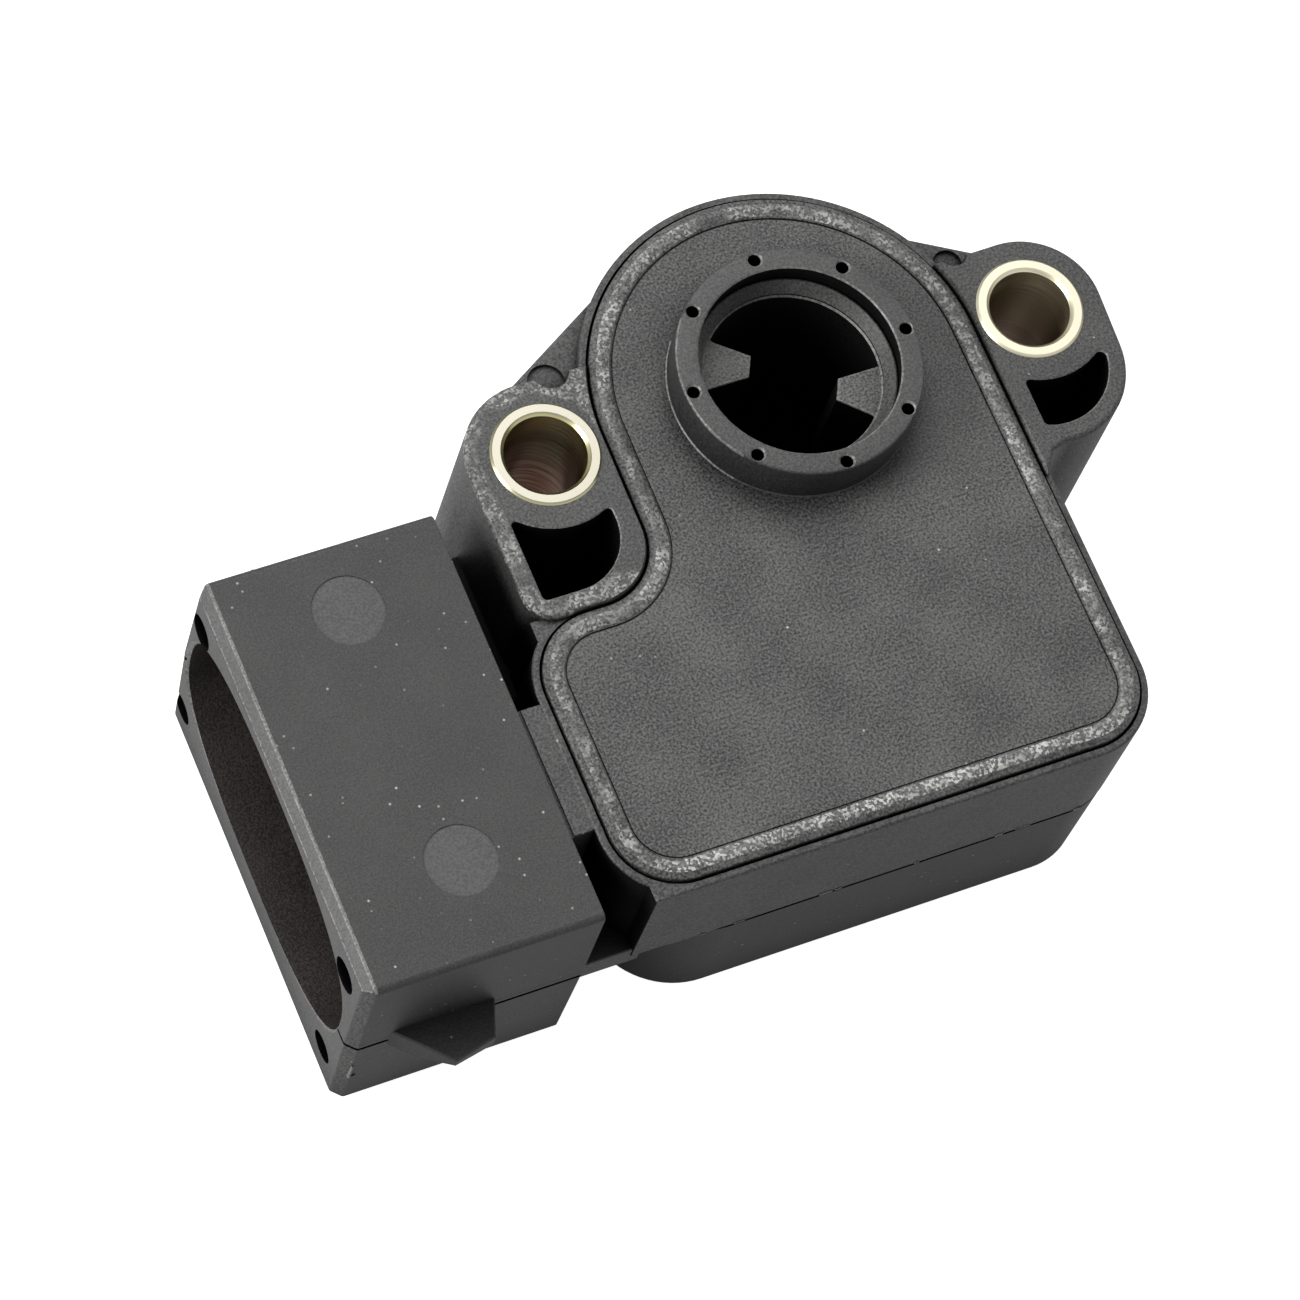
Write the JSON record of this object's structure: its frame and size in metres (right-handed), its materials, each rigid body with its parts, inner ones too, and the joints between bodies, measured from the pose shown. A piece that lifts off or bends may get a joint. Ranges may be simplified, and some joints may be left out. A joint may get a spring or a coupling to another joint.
{
  "type": "throttle position sensor",
  "caption": "Rotary sensor in a flat moulded housing with a collar round an open rotor, two bushed mounting ears and a side plug socket; the rotor turns against a return spring.",
  "frame": {"origin": "on the rotor's axis, in the plane of the two bush faces that bolt against the throttle body", "axes": "+Z out of the collar towards the throttle body, +X along the line from the left screw to the right one, the socket's mouth faces -X"},
  "size_m": [0.0645, 0.0478, 0.0232],
  "materials": {
    "housing_plastic": "fine spark-eroded texture",
    "cover_plastic": "sandy texture, rim with glass fibre showing",
    "sealant": "matt",
    "rotor_plastic": "smooth moulded",
    "spring_steel": "drawn wire",
    "wiper_alloy": "bright",
    "board_laminate": "satin",
    "carbon_ink": "satin",
    "silver_ink": "satin",
    "tinned_brass": "matt tin",
    "bush_steel": "turned, yellow zinc"
  },
  "bodies": {
    "sensor_body": {"housing": "housing_plastic", "cover": "cover_plastic", "cover_sealant": "sealant", "return_spring": "spring_steel", "wave_washer": "spring_steel", "element_board": "board_laminate", "resistor_track": "carbon_ink", "collector_track": "carbon_ink", "supply_conductor": "silver_ink", "ground_conductor": "silver_ink", "signal_conductor": "silver_ink", "supply_terminal": "tinned_brass", "ground_terminal": "tinned_brass", "signal_terminal": "tinned_brass", "left_bush": "bush_steel", "right_bush": "bush_steel"},
    "rotor": {"rotor": "rotor_plastic", "wiper_plate": "wiper_alloy", "resistor_brush": "wiper_alloy", "collector_brush": "wiper_alloy"}
  },
  "joints": [
    {"name": "rotor_turn", "type": "hinge", "parent": "sensor_body", "child": "rotor", "pos_m": [0, 0, 0], "axis": [0, 0, 1], "range_deg": [-95, 0], "stiffness_Nm_per_rad": 0.01, "springref_deg": 20.05, "deforming": ["return_spring"]}
  ]
}
